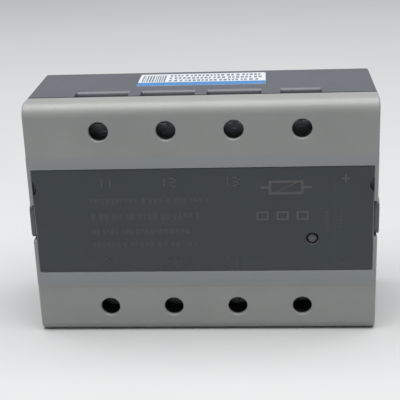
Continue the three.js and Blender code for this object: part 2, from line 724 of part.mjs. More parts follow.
for (const row of ROWS) {
  for (const way of WAYS) {
    const name = way.letter === "control" ? `control_${row.sign}` : `${way.letter}${row.end}`;
    const terminal = new THREE.Group();
    terminal.position.set(way.x, 0, MID + row.side * ROW_OFFSET);
    terminal.rotation.y = row.side > 0 ? 0 : Math.PI;
    const strip = way.kind === POWER ? makeBusbar(way.kind) : makeControlStrip(way.kind);
    add(`${name}_busbar`, strip, MATERIALS.nickel, terminal);
    add(`${name}_clamp`, makeClamp(way.kind), MATERIALS.nickel, terminal);
    add(`${name}_screw`, makeScrew(way.kind), MATERIALS.zinc, terminal);
    add(`${name}_nut`, makeNut(way.kind), MATERIALS.zinc, terminal);
    relay.add(terminal);
  }
}

const substrate = slab(SUBSTRATE_WIDTH, SUBSTRATE_FRONT, PLATE_FRONT, SUBSTRATE_HEIGHT, MID);
add("power_substrate", substrate, MATERIALS.ceramic).position.x = PHASES[1].x;
for (const { letter, x } of PHASES) {
  for (const { end, side } of ROWS) {
    const die = slab(DIE_SIZE, DIE_FRONT, SUBSTRATE_FRONT, DIE_SIZE, MID + side * DIE_Z);
    add(`${letter}${end}_thyristor`, die, MATERIALS.silicon).position.x = x;
  }
  add(`${letter}_optocoupler`, makeOptocoupler(), MATERIALS.chip).position.set(x, 0, MID);
}

add("control_board", makeBoard(), MATERIALS.board);
add("status_led", makeStatusLed(), MATERIALS.chip).position.set(LED_X, 0, LED_Z);
add("light_pipe", makeLightPipe(), MATERIALS.lens).position.set(LED_X, 0, LED_Z);
add("potting_resin", makePotting(), MATERIALS.resin);

export default relay;
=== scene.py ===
"""Looks for the three-phase solid state relay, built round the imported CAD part.

Metres, +Z up, the cover faces -Y."""
import math
import random

import bmesh
import bpy
from mathutils import Matrix, Vector


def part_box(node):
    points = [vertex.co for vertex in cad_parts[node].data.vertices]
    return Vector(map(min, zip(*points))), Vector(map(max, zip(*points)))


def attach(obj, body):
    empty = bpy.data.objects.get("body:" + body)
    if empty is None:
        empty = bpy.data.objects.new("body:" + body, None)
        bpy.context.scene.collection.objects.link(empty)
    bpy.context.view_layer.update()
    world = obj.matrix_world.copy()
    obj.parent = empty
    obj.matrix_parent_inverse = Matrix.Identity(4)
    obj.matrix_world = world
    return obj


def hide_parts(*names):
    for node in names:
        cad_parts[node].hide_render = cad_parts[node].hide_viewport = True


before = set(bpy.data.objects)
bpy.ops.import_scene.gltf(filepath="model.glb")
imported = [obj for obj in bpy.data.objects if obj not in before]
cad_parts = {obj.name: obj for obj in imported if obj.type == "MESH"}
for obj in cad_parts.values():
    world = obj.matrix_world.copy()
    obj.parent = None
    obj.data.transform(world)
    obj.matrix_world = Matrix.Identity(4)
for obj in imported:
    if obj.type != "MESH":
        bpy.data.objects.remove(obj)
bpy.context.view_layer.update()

MM = 0.001
RNG = random.Random(7)


# ---------------------------------------------------------------- measures from the frame
def centre_of(node):
    low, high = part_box(node)
    return tuple((a + b) / 2 for a, b in zip(low, high))


COVER_LOW, COVER_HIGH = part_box("cover")
HALF = COVER_HIGH[0]
HEIGHT = COVER_HIGH[2]
MID = HEIGHT / 2
FRONT = COVER_LOW[1]
COVER_REAR = COVER_HIGH[1]
PLATFORM_RISE = 0.4 * MM
BAND = FRONT + PLATFORM_RISE
FRONT_WALL = 1.4 * MM
WALL = 2 * MM
TOP_EDGE_R = 4 * MM
BOTTOM_EDGE_R = 3 * MM
PLATFORM_HALF = 21.2 * MM
PLATFORM_SLOPE = 0.8 * MM
LABEL_LOW, LABEL_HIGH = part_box("front_label")
LABEL_FLOOR = LABEL_HIGH[1]
DRIVER_HOLE_R = 2.95 * MM
LED_HOLE_R = 1.95 * MM
PRY_R = 2.9 * MM
PRY_X = 52.9 * MM
PRY_Z = MID + 11 * MM
GROOVE_FLOOR = 51.3 * MM
MOUNT_HOLE_X = 45 * MM
MOUNT_HOLE_R = 2.9 * MM
SEAT_R = 4.3 * MM
SEAT_DEEP = 0.3 * MM
POWER_WAYS = ("a1", "b1", "c1", "a2", "b2", "c2")
CONTROL_WAYS = ("control_plus", "control_minus")
TERMINALS = POWER_WAYS + CONTROL_WAYS
BASE_SCREWS = [f"base_screw_{row}_{side}" for row in ("lower", "upper") for side in ("left", "right")]


# ---------------------------------------------------------------- camera, floor and light
def set_camera():
    """Slightly above and to the right of the relay's middle, as a hand-held close-up."""
    data = bpy.data.cameras.new("camera")
    data.sensor_width = 36
    data.lens = 91.09
    camera = bpy.data.objects.new("camera", data)
    bpy.context.scene.collection.objects.link(camera)
    forward = Vector((-0.06829, 0.93414, -0.35032)).normalized()
    right = Vector((0.997586, 0.059508, -0.035796)).normalized()
    up = right.cross(forward)
    turn = Matrix((right, up, -forward)).transposed().to_4x4()
    camera.matrix_world = Matrix.Translation((0.02017, -0.30303, 0.15032)) @ turn
    data.clip_start = 0.01
    bpy.context.scene.camera = camera


def area_light(name, size, power, place, aim, colour=(1, 1, 1)):
    data = bpy.data.lights.new(name, "AREA")
    data.shape = "RECTANGLE"
    data.size, data.size_y = size
    data.energy = power
    data.color = colour
    lamp = bpy.data.objects.new(name, data)
    lamp.location = place
    lamp.rotation_euler = (Vector(aim) - Vector(place)).to_track_quat("-Z", "Y").to_euler()
    bpy.context.scene.collection.objects.link(lamp)


def set_light():
    """Soft light from above, a weak fill from the front and a dim pale surround."""
    world = bpy.data.worlds.new("studio")
    world.use_nodes = True
    background = world.node_tree.nodes["Background"]
    background.inputs["Color"].default_value = (0.93, 0.96, 1, 1)
    background.inputs["Strength"].default_value = 0.25
    bpy.context.scene.world = world
    area_light("overhead", (1.5, 0.9), 18, (0, -0.06, 0.92), (0, 0, 0))
    area_light("front_fill", (1.0, 0.3), 0.2, (-0.1, -0.9, 0.1), (0, 0, 0.03))
    bpy.context.scene.view_settings.view_transform = "Standard"


# ---------------------------------------------------------------- mesh helpers
def object_from(bm, name):
    bmesh.ops.recalc_face_normals(bm, faces=bm.faces)
    mesh = bpy.data.meshes.new(name)
    bm.to_mesh(mesh)
    bm.free()
    obj = bpy.data.objects.new(name, mesh)
    bpy.context.scene.collection.objects.link(obj)
    return obj


def apply_modifiers(obj):
    depsgraph = bpy.context.evaluated_depsgraph_get()
    baked = bpy.data.meshes.new_from_object(obj.evaluated_get(depsgraph))
    obj.modifiers.clear()
    obj.data = baked


def block(low, high, name="block"):
    """A box between two opposite corners."""
    bm = bmesh.new()
    bmesh.ops.create_cube(bm, size=1)
    for vert in bm.verts:
        vert.co = [a + (c + 0.5) * (b - a) for a, b, c in zip(low, high, vert.co)]
    return object_from(bm, name)


def swept(corners, way, name):
    """A flat face round the corners, swept by the vector way into a solid."""
    bm = bmesh.new()
    face = bm.faces.new([bm.verts.new(corner) for corner in corners])
    made = bmesh.ops.extrude_face_region(bm, geom=[face])["geom"]
    moved = [item for item in made if isinstance(item, bmesh.types.BMVert)]
    bmesh.ops.translate(bm, vec=way, verts=moved)
    return object_from(bm, name)


def prism(outline, x0, x1, name="prism"):
    """A closed outline of (y, z) points, swept along X."""
    return swept([(x0, y, z) for y, z in outline], (x1 - x0, 0, 0), name)


def plate(outline, y0, y1, name="plate"):
    """A closed outline of (x, z) points, swept along Y."""
    return swept([(x, y0, z) for x, z in outline], (0, y1 - y0, 0), name)


def sheet(outline, z0, z1, name):
    """A closed outline of (x, y) points, swept along Z."""
    return swept([(x, y, z0) for x, y in outline], (0, 0, z1 - z0), name)


def turned(profile, x, z, name="turned", segments=64):
    """A profile of (radius, y) points, from axis to axis, turned about the line through (x, z) along Y."""
    bm = bmesh.new()
    rings = []
    for radius, y in profile:
        count = segments if radius > 0 else 1
        angles = [2 * math.pi * i / count for i in range(count)]
        places = [(x + radius * math.cos(a), y, z + radius * math.sin(a)) for a in angles]
        rings.append([bm.verts.new(place) for place in places])
    for one, two in zip(rings, rings[1:]):
        for i in range(segments):
            after = i + 1
            corners = [one[i % len(one)], one[after % len(one)], two[after % len(two)], two[i % len(two)]]
            bm.faces.new(list(dict.fromkeys(corners)))  # a triangle where a ring is a single point
    return object_from(bm, name)


def rod(radius, x, z, y0, y1, segments=64):
    return turned([(0, y0), (radius, y0), (radius, y1), (0, y1)], x, z, "rod", segments)


def arc(cy, cz, radius, start, end, steps=16):
    """Points on an arc in degrees, from start to end."""
    angles = [math.radians(start + (end - start) * i / steps) for i in range(steps + 1)]
    return [(cy + radius * math.cos(a), cz + radius * math.sin(a)) for a in angles]


def rounded_rectangle(x0, x1, z0, z1, radius, steps=8):
    return (
        arc(x1 - radius, z1 - radius, radius, 0, 90, steps)
        + arc(x0 + radius, z1 - radius, radius, 90, 180, steps)
        + arc(x0 + radius, z0 + radius, radius, 180, 270, steps)
        + arc(x1 - radius, z0 + radius, radius, 270, 360, steps)
    )


def combine(target, tools, operation="DIFFERENCE"):
    """Joins or cuts target with each tool, and removes the tools."""
    for tool in tools:
        step = target.modifiers.new("boolean", "BOOLEAN")
        step.operation = operation
        step.solver = "EXACT"
        step.object = tool
    apply_modifiers(target)
    for tool in tools:
        bpy.data.objects.remove(tool, do_unlink=True)
    return target


def soften(obj, width, segments=3, angle=35):
    """Rounds every edge sharper than angle, and shades the rest smooth."""
    bevel = obj.modifiers.new("bevel", "BEVEL")
    bevel.width = width
    bevel.segments = segments
    bevel.limit_method = "ANGLE"
    bevel.angle_limit = math.radians(angle)
    bevel.miter_outer = "MITER_ARC"
    apply_modifiers(obj)
    for face in obj.data.polygons:
        face.use_smooth = True
    normals = obj.modifiers.new("normals", "WEIGHTED_NORMAL")
    normals.keep_sharp = True
    normals.weight = 60
    apply_modifiers(obj)
    return obj


MERGE = 0.06 * MM
FLAT_ANGLE = 1  # degrees; faces that meet at less belong to one flat region


def edges_round_holes(bm, flat):
    """Edges inside those flat regions whose rim is in several loops, as it is round a hole."""
    seen, kept = set(), set()
    for start in bm.faces:
        if start in seen:
            continue
        seen.add(start)
        region, waiting, inner, rim = {start}, [start], set(), []
        while waiting:
            for edge in waiting.pop().edges:
                if len(edge.link_faces) == 2 and edge.calc_face_angle() < flat:
                    inner.add(edge)
                    for face in edge.link_faces:
                        if face not in region:
                            region.add(face)
                            seen.add(face)
                            waiting.append(face)
                else:
                    rim.append(edge)
        parent = {vert: vert for edge in rim for vert in edge.verts}

        def root(vert):
            while parent[vert] is not vert:
                vert = parent[vert]
            return vert

        for edge in rim:
            first, second = (root(vert) for vert in edge.verts)
            parent[first] = second
        if sum(parent[vert] is vert for vert in parent) > 1:
            kept |= inner
    return kept


def refined_copy(node, width, segments=2):
    """The CAD node's own shape as a new piece, with its flat faces joined up and its edges rounded.

    Flat regions with holes stay in pieces, because one face round a hole can be filled in across it.
    Corners closer than MERGE are merged first, because the shortest edge limits the rounding."""
    bm = bmesh.new()
    bm.from_mesh(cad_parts[node].data)
    bmesh.ops.remove_doubles(bm, verts=bm.verts, dist=MERGE)
    flat = math.radians(FLAT_ANGLE)
    kept = edges_round_holes(bm, flat)
    joined = [edge for edge in bm.edges if edge not in kept]
    bmesh.ops.dissolve_limit(bm, angle_limit=flat, verts=bm.verts, edges=joined)
    return soften(object_from(bm, node + "_finished"), width, segments)


def finish_piece(obj, node, body, material):
    """obj stands for that CAD node, rides on its body and takes its finish."""
    obj.data.materials.clear()
    obj.data.materials.append(material)
    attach(obj, body)
    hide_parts(node)
    return obj


# ---------------------------------------------------------------- materials
class Finish:
    """A node material round one Principled shader, with object coordinates in metres."""

    def __init__(self, name, colour, roughness, metallic=0.0, specular=0.5):
        self.material = bpy.data.materials.new(name)
        self.material.use_nodes = True
        self.tree = self.material.node_tree
        self.shader = self.tree.nodes["Principled BSDF"]
        self.colour = colour
        self.shader.inputs["Base Color"].default_value = (*colour, 1)
        self.shader.inputs["Roughness"].default_value = roughness
        self.shader.inputs["Metallic"].default_value = metallic
        self.shader.inputs["Specular IOR Level"].default_value = specular
        self.place = self.node("ShaderNodeTexCoord").outputs["Object"]

    def node(self, kind, inputs=None, **settings):
        made = self.tree.nodes.new(kind)
        for key, value in settings.items():
            setattr(made, key, value)
        for key, value in (inputs or {}).items():
            if isinstance(value, bpy.types.NodeSocket):
                self.tree.links.new(value, made.inputs[key])
            else:
                made.inputs[key].default_value = value
        return made

    def link(self, source, socket):
        self.tree.links.new(source, self.shader.inputs[socket])

    def noise(self, size, detail=3.0, stretch=(1, 1, 1)):
        """Noise with features about size metres across, from 0 to 1."""
        mapped = self.node("ShaderNodeMapping", {"Vector": self.place, "Scale": stretch})
        return self.node(
            "ShaderNodeTexNoise", {"Vector": mapped.outputs["Vector"], "Scale": 1 / size, "Detail": detail}
        ).outputs["Fac"]

    def ramp(self, value, low, high, to_low=0.0, to_high=1.0):
        return self.node(
            "ShaderNodeMapRange",
            {"Value": value, "From Min": low, "From Max": high, "To Min": to_low, "To Max": to_high},
        ).outputs["Result"]

    def product(self, one, two, operation="MULTIPLY"):
        return self.node("ShaderNodeMath", {0: one, 1: two}, operation=operation).outputs["Value"]

    def edges(self, radius):
        """1 on outer and inner edges, within about radius, and 0 on flat ground."""
        rounded = self.node("ShaderNodeBevel", {"Radius": radius}, samples=4).outputs["Normal"]
        flat = self.node("ShaderNodeNewGeometry").outputs["Normal"]
        both = {0: rounded, 1: flat}
        match = self.node("ShaderNodeVectorMath", both, operation="DOT_PRODUCT").outputs["Value"]
        return self.ramp(match, 0.995, 0.86)

    def mix(self, factor, one, two):
        mixer = self.node("ShaderNodeMix", data_type="RGBA")
        for socket, value in ((mixer.inputs[6], one), (mixer.inputs[7], two)):
            if isinstance(value, bpy.types.NodeSocket):
                self.tree.links.new(value, socket)
            else:
                socket.default_value = (*value, 1)
        if isinstance(factor, bpy.types.NodeSocket):
            self.tree.links.new(factor, mixer.inputs[0])
        else:
            mixer.inputs[0].default_value = factor
        return mixer.outputs[2]

    def bump(self, height, strength, distance, below=None):
        inputs = {"Height": height, "Strength": strength, "Distance": distance}
        if below is not None:
            inputs["Normal"] = below
        return self.node("ShaderNodeBump", inputs).outputs["Normal"]


def shade(colour, factor):
    return tuple(min(1.0, c * factor) for c in colour)


def moulded_plastic(name, colour, roughness, grain=0.25, wear=0.35, platform=None):
    """Injection-moulded plastic: fine spark-eroded grain, faint cloudiness and slightly rubbed edges.

    With platform, the face in front of that Y is painted a little darker and bluer: painted shade with a
    bluish painted reflection on the raised platform, standing in for how the light falls there."""
    made = Finish(name, colour, roughness)
    cloudy = made.ramp(made.noise(14 * MM, 2), 0.3, 0.7)
    base = made.mix(cloudy, shade(colour, 0.96), shade(colour, 1.04))
    speck = made.ramp(made.noise(0.35 * MM, 2), 0.35, 0.65)
    base = made.mix(made.product(speck, 0.35), base, shade(colour, 0.9))
    if platform is not None:
        depth = made.node("ShaderNodeSeparateXYZ", {"Vector": made.place}).outputs["Y"]
        # painted shade: the raised platform face is darkened and tinted blue for how light falls on it
        platform_painted_shade = made.ramp(depth, platform + 0.1 * MM, platform)
        base = made.mix(platform_painted_shade, base, (colour[0] * 0.88, colour[1] * 0.92, colour[2] * 0.97))
    worn = made.product(made.edges(0.35 * MM), made.ramp(made.noise(3 * MM, 4), 0.42, 0.62))
    base = made.mix(made.product(worn, wear), base, tuple(min(1, c * 1.5 + 0.02) for c in colour))
    made.link(base, "Base Color")
    rough = made.ramp(made.noise(5 * MM, 3), 0.3, 0.7, roughness - 0.05, roughness + 0.06)
    made.link(made.product(rough, made.product(worn, -0.08), "ADD"), "Roughness")
    coarse = made.bump(made.noise(0.45 * MM, 3), grain, 0.03 * MM)
    sink = made.bump(made.noise(18 * MM, 1), 0.25, 0.08 * MM, coarse)
    made.link(sink, "Normal")
    return made


def plated_metal(name, colour, roughness, brush=(1, 1, 1), scratch=0.25, metallic=1.0):
    """Plated or machined metal: directional brushing, clouded roughness and brighter edges."""
    made = Finish(name, colour, roughness, metallic)
    streak = made.noise(0.5 * MM, 4, brush)
    base = made.mix(made.ramp(streak, 0.3, 0.7), shade(colour, 0.9), shade(colour, 1.06))
    stain = made.ramp(made.noise(4 * MM, 4), 0.55, 0.75)
    base = made.mix(made.product(stain, 0.25), base, shade(colour, 0.72))
    base = made.mix(made.product(made.edges(0.2 * MM), 0.5), base, shade(colour, 1.3))
    made.link(base, "Base Color")
    cloudy = made.ramp(made.noise(2.5 * MM, 3), 0.3, 0.7, roughness - 0.06, roughness + 0.12)
    made.link(cloudy, "Roughness")
    made.link(made.bump(streak, scratch, 0.01 * MM), "Normal")
    return made


def label_film():
    """Printed polyester film: smooth, semi-gloss charcoal with a fine orange-peel ripple."""
    colour = (0.03, 0.038, 0.044)
    made = Finish("label_film", colour, 0.38)
    cloudy = made.ramp(made.noise(22 * MM, 3), 0.3, 0.7)
    base = made.mix(cloudy, shade(colour, 0.93), shade(colour, 1.07))
    rubbed = made.product(made.edges(0.25 * MM), made.ramp(made.noise(2 * MM, 4), 0.5, 0.7))
    made.link(made.mix(made.product(rubbed, 0.3), base, (0.2, 0.21, 0.22)), "Base Color")
    smear = made.ramp(made.noise(9 * MM, 4, (1, 1, 3)), 0.35, 0.7, 0.33, 0.46)
    made.link(smear, "Roughness")
    made.link(made.bump(made.noise(1.2 * MM, 2), 0.12, 0.02 * MM), "Normal")
    return made


def print_ink(name, colour):
    """Thin grey screen print, patchy where the ink is thin."""
    made = Finish(name, colour, 0.5)
    patchy = made.ramp(made.noise(0.5 * MM, 3), 0.35, 0.7)
    made.link(made.mix(patchy, shade(colour, 0.85), shade(colour, 1.1)), "Base Color")
    made.link(made.bump(made.noise(0.2 * MM, 2), 0.1, 0.01 * MM), "Normal")
    return made


def sticker_paper():
    """Coated white paper with faint fibres."""
    made = Finish("sticker_paper", (0.55, 0.58, 0.6), 0.5)
    fibres = made.ramp(made.noise(0.3 * MM, 4, (1, 3, 1)), 0.35, 0.65)
    made.link(made.mix(fibres, (0.52, 0.55, 0.57), (0.58, 0.61, 0.63)), "Base Color")
    made.link(made.bump(fibres, 0.15, 0.01 * MM), "Normal")
    return made


def clear_acrylic():
    """Slightly hazy clear plastic."""
    made = Finish("clear_acrylic", (0.2, 0.21, 0.215), 0.1)
    made.shader.inputs["Transmission Weight"].default_value = 0.6
    made.shader.inputs["IOR"].default_value = 1.49
    haze = made.ramp(made.noise(0.6 * MM, 3), 0.4, 0.7, 0.06, 0.2)
    made.link(haze, "Roughness")
    made.link(made.bump(made.noise(1.5 * MM, 2), 0.08, 0.02 * MM), "Normal")
    return made


def circuit_board():
    """Green solder mask over faint copper tracks."""
    colour = (0.012, 0.1, 0.045)
    made = Finish("circuit_board", colour, 0.3)
    turn = (math.pi / 2, 0, 0)
    grid = made.node("ShaderNodeMapping", {"Vector": made.place, "Rotation": turn}).outputs["Vector"]
    tracks = made.node(
        "ShaderNodeTexBrick",
        {"Vector": grid, "Scale": 120.0, "Mortar Size": 0.08, "Mortar Smooth": 0.2},
    ).outputs["Fac"]
    made.link(made.mix(made.product(tracks, 0.6), colour, (0.03, 0.2, 0.09)), "Base Color")
    made.link(made.ramp(made.noise(3 * MM, 3), 0.3, 0.7, 0.24, 0.4), "Roughness")
    made.link(made.bump(tracks, 0.3, 0.03 * MM), "Normal")
    return made


def grained(name, colour, roughness, size, strength, metallic=0.0):
    """A plain matt finish with grain of the given size."""
    made = Finish(name, colour, roughness, metallic)
    grain = made.noise(size, 4)
    made.link(made.mix(made.ramp(grain, 0.3, 0.7), shade(colour, 0.88), shade(colour, 1.08)), "Base Color")
    made.link(made.ramp(made.noise(size * 6, 3), 0.3, 0.7, roughness - 0.05, roughness + 0.1), "Roughness")
    made.link(made.bump(grain, strength, 0.05 * MM), "Normal")
    return made


COVER_PLASTIC = moulded_plastic(
    "cover_plastic", (0.275, 0.279, 0.27), 0.38, platform=FRONT + 0.05 * MM
).material
HOUSING_PLASTIC = moulded_plastic("housing_plastic", (0.096, 0.102, 0.115), 0.32, wear=0.3).material
LABEL_FILM = label_film().material
INK = print_ink("print_ink", (0.085, 0.086, 0.084)).material
FAINT_INK = print_ink("faint_print_ink", (0.052, 0.056, 0.058)).material
STICKER_WHITE = sticker_paper().material
STICKER_BLUE = print_ink("sticker_blue", (0.06, 0.19, 0.42)).material
STICKER_GREY = print_ink("sticker_grey", (0.17, 0.183, 0.205)).material
ALUMINIUM = plated_metal("aluminium", (0.72, 0.73, 0.74), 0.34, brush=(0.06, 1, 1)).material
ZINC = plated_metal("zinc_plating", (0.55, 0.57, 0.6), 0.3).material
MATT_ZINC = plated_metal("matt_zinc_plating", (0.7, 0.71, 0.73), 0.55, metallic=0.5).material
NICKEL = plated_metal("nickel_plating", (0.6, 0.58, 0.54), 0.32, brush=(1, 1, 0.15)).material
TIN = plated_metal("tin_plating", (0.62, 0.61, 0.58), 0.36, brush=(1, 1, 0.15)).material
ACRYLIC = clear_acrylic().material
BOARD = circuit_board().material
CERAMIC = grained("alumina", (0.82, 0.8, 0.75), 0.55, 0.3 * MM, 0.2).material
SILICON = grained("silicon", (0.14, 0.15, 0.18), 0.22, 2 * MM, 0.05, metallic=0.7).material
CHIP = grained("chip_moulding", (0.74, 0.72, 0.67), 0.5, 0.25 * MM, 0.25).material
RESIN = grained("resin", (0.03, 0.032, 0.037), 0.4, 6 * MM, 0.35).material


# ---------------------------------------------------------------- cover and label
def cover_section(inset, rear):
    """Section of the cover as (y, z) points, with rounded front edges at top and bottom.

    An inset of 0 gives the outside with its platform, and any other the inside."""
    face = BAND if inset == 0 else BAND + FRONT_WALL
    top, bottom = HEIGHT - inset, inset
    top_r, bottom_r = TOP_EDGE_R - inset, BOTTOM_EDGE_R - inset
    outline = [(rear, bottom), (rear, top)] + arc(face + top_r, top - top_r, top_r, 90, 180)
    if inset == 0:
        outline += [
            (face, MID + PLATFORM_HALF),
            (FRONT, MID + PLATFORM_HALF - PLATFORM_SLOPE),
            (FRONT, MID - PLATFORM_HALF + PLATFORM_SLOPE),
            (face, MID - PLATFORM_HALF),
        ]
    return outline + arc(face + bottom_r, bottom + bottom_r, bottom_r, 180, 270)


def both_sides(make):
    """What make gives for the -X side and then for the +X side."""
    return [make(side) for side in (-1, 1)]


def mirrored_block(side, x0, x1, y0, y1, z0, z1):
    low_x, high_x = sorted((side * x0, side * x1))
    return block((low_x, y0, z0), (high_x, y1, z1))


def pry_cutter(side, y1):
    """Half-round notch between the label and the rim."""
    round_part = rod(PRY_R, side * PRY_X, PRY_Z, FRONT - MM, y1)
    within = mirrored_block(side, PRY_X - 2 * PRY_R, GROOVE_FLOOR, FRONT - 2 * MM, y1 + MM, 0, HEIGHT)
    return combine(round_part, [within], "INTERSECT")


def driver_hole(x, z):
    """Hole for a screwdriver, with a narrow chamfer round its mouth."""
    chamfer = 0.25 * MM
    mouth = DRIVER_HOLE_R + chamfer
    profile = [(0, FRONT - MM), (mouth, FRONT - MM), (mouth, BAND), (DRIVER_HOLE_R, BAND + chamfer)]
    profile += [(DRIVER_HOLE_R, COVER_REAR), (0, COVER_REAR)]
    return turned(profile, x, z)


def make_cover():
    latch_low, latch_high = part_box("cover_latch_right")
    gap = 0.4 * MM
    shell = prism(cover_section(0, COVER_REAR), -HALF, HALF, "cover_shell")
    soften(shell, 0.7 * MM, 4, 60)
    inner_half = HALF - WALL
    tools = [prism(cover_section(WALL, COVER_REAR + MM), -inner_half, inner_half)]
    recess_top, recess_low = LABEL_HIGH[2] + 0.1 * MM, LABEL_LOW[2] - 0.1 * MM
    recess = rounded_rectangle(-GROOVE_FLOOR, GROOVE_FLOOR, recess_low, recess_top, 0.3 * MM, 4)
    tools.append(plate(recess, FRONT - MM, LABEL_FLOOR))
    groove_low, groove_high = latch_low[2] - gap, latch_high[2] + gap
    tools += both_sides(
        lambda side: mirrored_block(
            side, GROOVE_FLOOR, HALF + MM, FRONT - MM, COVER_REAR + MM, groove_low, groove_high
        )
    )
    tools += both_sides(lambda side: pry_cutter(side, BAND + FRONT_WALL + MM))
    for way in TERMINALS:
        x, _, z = centre_of(way + "_screw")
        tools.append(driver_hole(x, z))
    lamp_x, _, lamp_z = centre_of("light_pipe")
    tools.append(rod(LED_HOLE_R, lamp_x, lamp_z, FRONT - MM, COVER_REAR, 48))
    combine(shell, tools)
    soften(shell, 0.16 * MM, 2, 40)
    return finish_piece(shell, "cover", "cover", COVER_PLASTIC)


def make_label():
    gap = 0.12 * MM
    x0, x1 = LABEL_LOW[0] + gap, LABEL_HIGH[0] - gap
    outline = rounded_rectangle(x0, x1, LABEL_LOW[2] + gap, LABEL_HIGH[2] - gap, 0.5 * MM)
    film = plate(outline, LABEL_LOW[1], LABEL_FLOOR)
    lamp_x, _, lamp_z = centre_of("light_pipe")
    tools = both_sides(lambda side: pry_cutter(side, LABEL_FLOOR + MM))
    tools.append(rod(LED_HOLE_R, lamp_x, lamp_z, FRONT - MM, LABEL_FLOOR + MM, 48))
    combine(film, tools)
    soften(film, 0.05 * MM, 2)
    return finish_piece(film, "front_label", "cover", LABEL_FILM)


# ---------------------------------------------------------------- printing on the label
PRINT_REAR = LABEL_LOW[1]
PRINT_THICK = 0.02 * MM


def stroke_box(bm, x0, x1, z0, z1):
    """One printed bar, as a thin raised box on the label's face."""
    made = bmesh.ops.create_cube(bm, size=1)
    for vert in made["verts"]:
        x = x0 + (vert.co.x + 0.5) * (x1 - x0)
        z = z0 + (vert.co.z + 0.5) * (z1 - z0)
        vert.co = (x, PRINT_REAR - PRINT_THICK * (0.5 - vert.co.y), z)


SEGMENTS = {  # bars of a digit: left and right edges in widths, low and high edges in heights
    "top": (0, 1, 0.9, 1),
    "middle": (0, 1, 0.45, 0.55),
    "bottom": (0, 1, 0, 0.1),
    "upper_stem": (0.41, 0.59, 0.5, 1),
    "lower_stem": (0.41, 0.59, 0, 0.5),
    "upper_left": (0, 0.18, 0.5, 1),
    "upper_right": (0.82, 1, 0.5, 1),
    "lower_left": (0, 0.18, 0, 0.5),
    "lower_right": (0.82, 1, 0, 0.5),
}
DIGITS = {
    "1": ("upper_stem", "lower_stem"),
    "2": ("top", "upper_right", "middle", "lower_left", "bottom"),
    "3": ("top", "upper_right", "middle", "lower_right", "bottom"),
}


def print_digit(bm, digit, x, z, height):
    """A digit with its lower left corner at x, z."""
    width = 0.6 * height
    for name in DIGITS[digit]:
        left, right, low, high = SEGMENTS[name]
        stroke_box(bm, x + left * width, x + right * width, z + low * height, z + high * height)


def print_sign(bm, sign, x, z, size):
    line = 0.16 * size
    stroke_box(bm, x - size / 2, x + size / 2, z - line / 2, z + line / 2)
    if sign == "plus":
        stroke_box(bm, x - line / 2, x + line / 2, z - size / 2, z - line / 2)
        stroke_box(bm, x - line / 2, x + line / 2, z + line / 2, z + size / 2)


def print_dashes(bm, x0, x1, z, height):
    """A row of uneven short bars that stands for a line of small print."""
    x = x0
    while x < x1:
        width = RNG.uniform(0.7, 1.5) * MM
        lift = RNG.choice((0, 0, 0.25)) * height
        stroke_box(bm, x, min(x + width, x1), z - height / 2 + lift, z + height / 2)
        x += width + RNG.choice((0.35, 0.35, 0.35, 1.1)) * MM


def print_frame(bm, x0, x1, z0, z1, line):
    """A printed rectangle of four bars."""
    stroke_box(bm, x0, x1, z1 - line, z1)
    stroke_box(bm, x0, x1, z0, z0 + line)
    stroke_box(bm, x0, x0 + line, z0 + line, z1 - line)
    stroke_box(bm, x1 - line, x1, z0 + line, z1 - line)


def print_layer(bm, name, material):
    made = object_from(bm, name)
    made.data.materials.append(material)
    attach(made, "cover")


def print_relay_symbol(bm, left, right, low, high):
    """A box with a slanting bar and two leads, as a relay is drawn in a circuit."""
    line = 0.75 * MM
    print_frame(bm, left, right, low, high, line)
    middle = (low + high) / 2
    lead = 2.4 * MM
    stroke_box(bm, left - lead, left, middle - line / 2, middle + line / 2)
    stroke_box(bm, right, right + lead, middle - line / 2, middle + line / 2)
    steps = 10
    inner_left, inner_right = left + 2.2 * MM, right - 2.2 * MM
    across, up = (inner_right - inner_left) / steps, (high - low - 2 * line) / steps
    for i in range(steps):
        x, z = inner_left + across * i, low + line + up * i
        stroke_box(bm, x, x + across, z, z + up)


WAY_NUMBER_X = (-28.8 * MM, -9.9 * MM, 9 * MM)
WAY_NUMBER_HIGH = 2.9 * MM
SIGN_SIZE = 2.6 * MM
TILE_WIDE = 3.6 * MM
UPRIGHT_LINES = ((-2.3, -3.5, 3), (1.9, -2.5, 3.5))  # mm: middle from the divider, low and high ends
TEXT_LEFT = -34 * MM
TEXT_ROWS = ((1.9, 6.8, 1.9), (-1, 1.8, 2.2), (-4, -3.1, 1.7), (-2, -7.4, 1.7))  # mm: right, row, height


def print_way_numbers(bm, first, z):
    """The number of each power way: its row, then its place in the row."""
    for second, x in zip("123", WAY_NUMBER_X):
        print_digit(bm, first, x - 2.1 * MM, z, WAY_NUMBER_HIGH)
        print_digit(bm, second, x + 0.4 * MM, z, WAY_NUMBER_HIGH)


